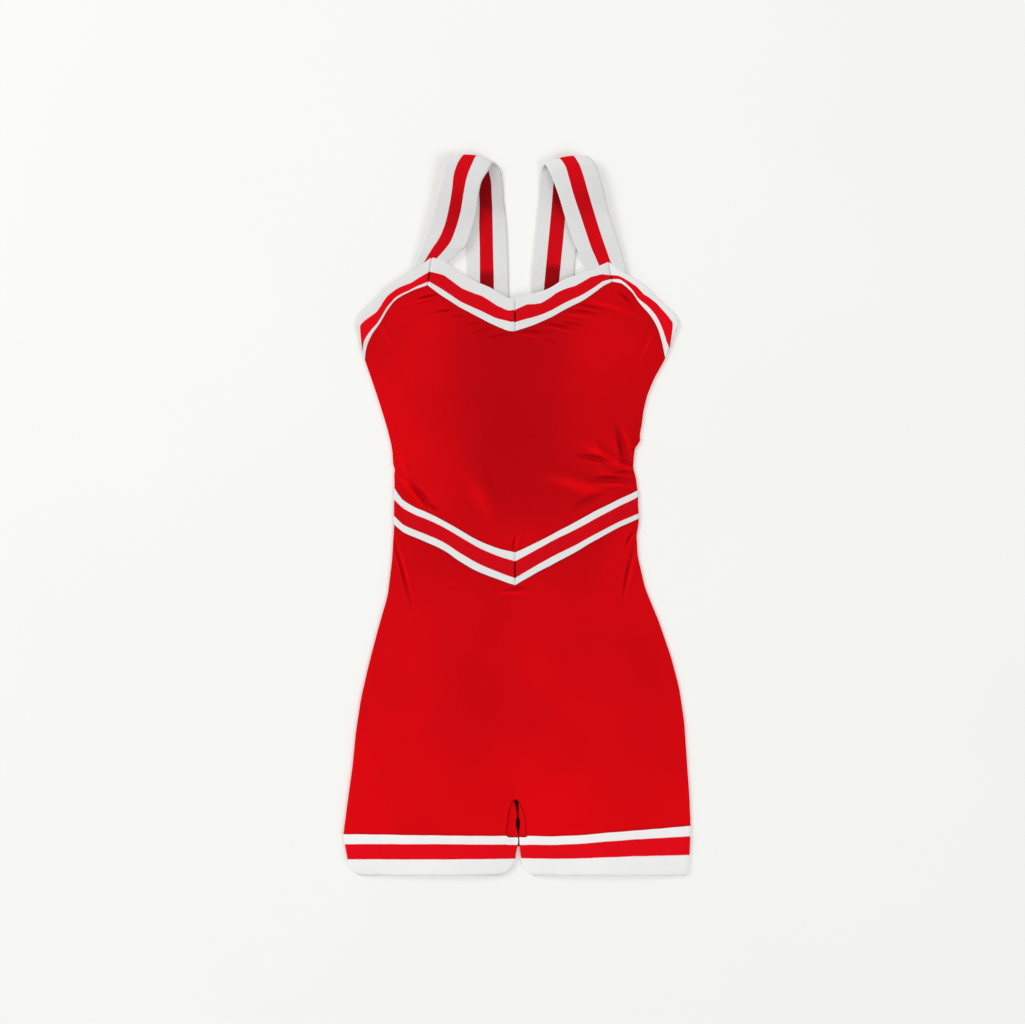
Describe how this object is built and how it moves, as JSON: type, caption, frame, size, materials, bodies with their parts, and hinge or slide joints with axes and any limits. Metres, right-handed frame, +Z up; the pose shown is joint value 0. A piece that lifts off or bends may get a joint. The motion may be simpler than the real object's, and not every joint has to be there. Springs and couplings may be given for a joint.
{
  "type": "cheer uniform",
  "caption": "Sleeveless one-piece cheer uniform in stretch knit, laid flat: bodice and shorts edged with striped knit trim, with looped shoulder straps.",
  "frame": {"origin": "under the middle of the bounding box, on the surface that the garment lies on", "axes": "+X across towards the wearer's left side, +Y from the leg hems to the straps, +Z up, from the back of the garment to its front"},
  "size_m": [0.3734, 0.7758, 0.0155],
  "materials": {
    "red_knit": "fine stretch knit with a slight sheen",
    "lining_knit": "matt stretch knit",
    "elastic": "matt woven elastic",
    "striped_trim": "rib knit with a red stripe along the middle",
    "strap_webbing": "woven elastic with a red stripe along the middle"
  },
  "bodies": {
    "shorts": {"back_shorts": "red_knit", "back_waist_panel": "red_knit", "crotch_gusset": "red_knit", "front_shorts": "red_knit", "front_waist_panel": "red_knit", "hem_trim_left_back": "striped_trim", "hem_trim_left_front": "striped_trim", "hem_trim_right_back": "striped_trim", "hem_trim_right_front": "striped_trim", "waist_trim_back": "striped_trim", "waist_trim_front_left": "striped_trim", "waist_trim_front_right": "striped_trim"},
    "bodice": {"armhole_trim_left": "striped_trim", "armhole_trim_right": "striped_trim", "back_bodice": "red_knit", "back_neckline_trim": "striped_trim", "bust_elastic": "elastic", "bust_lining": "lining_knit", "front_bodice": "red_knit", "neckline_trim_left": "striped_trim", "neckline_trim_right": "striped_trim", "strap_left_back_end": "strap_webbing", "strap_left_front_end": "strap_webbing", "strap_right_back_end": "strap_webbing", "strap_right_front_end": "strap_webbing"},
    "strap_left": {"strap_left": "strap_webbing"},
    "strap_right": {"strap_right": "strap_webbing"}
  },
  "joints": [
    {"name": "waist_fold", "type": "hinge", "parent": "shorts", "child": "bodice", "pos_m": [0, 0.03884, 0.0125], "axis": [1, 0, 0], "range_deg": [0, 150]},
    {"name": "left_strap_fold", "type": "hinge", "parent": "bodice", "child": "strap_left", "pos_m": [-0.081, 0.28384, 0.0096], "axis": [1, 0, 0], "range_deg": [0, 165]},
    {"name": "right_strap_fold", "type": "hinge", "parent": "bodice", "child": "strap_right", "pos_m": [0.088, 0.28384, 0.0096], "axis": [1, 0, 0], "range_deg": [0, 165]}
  ]
}
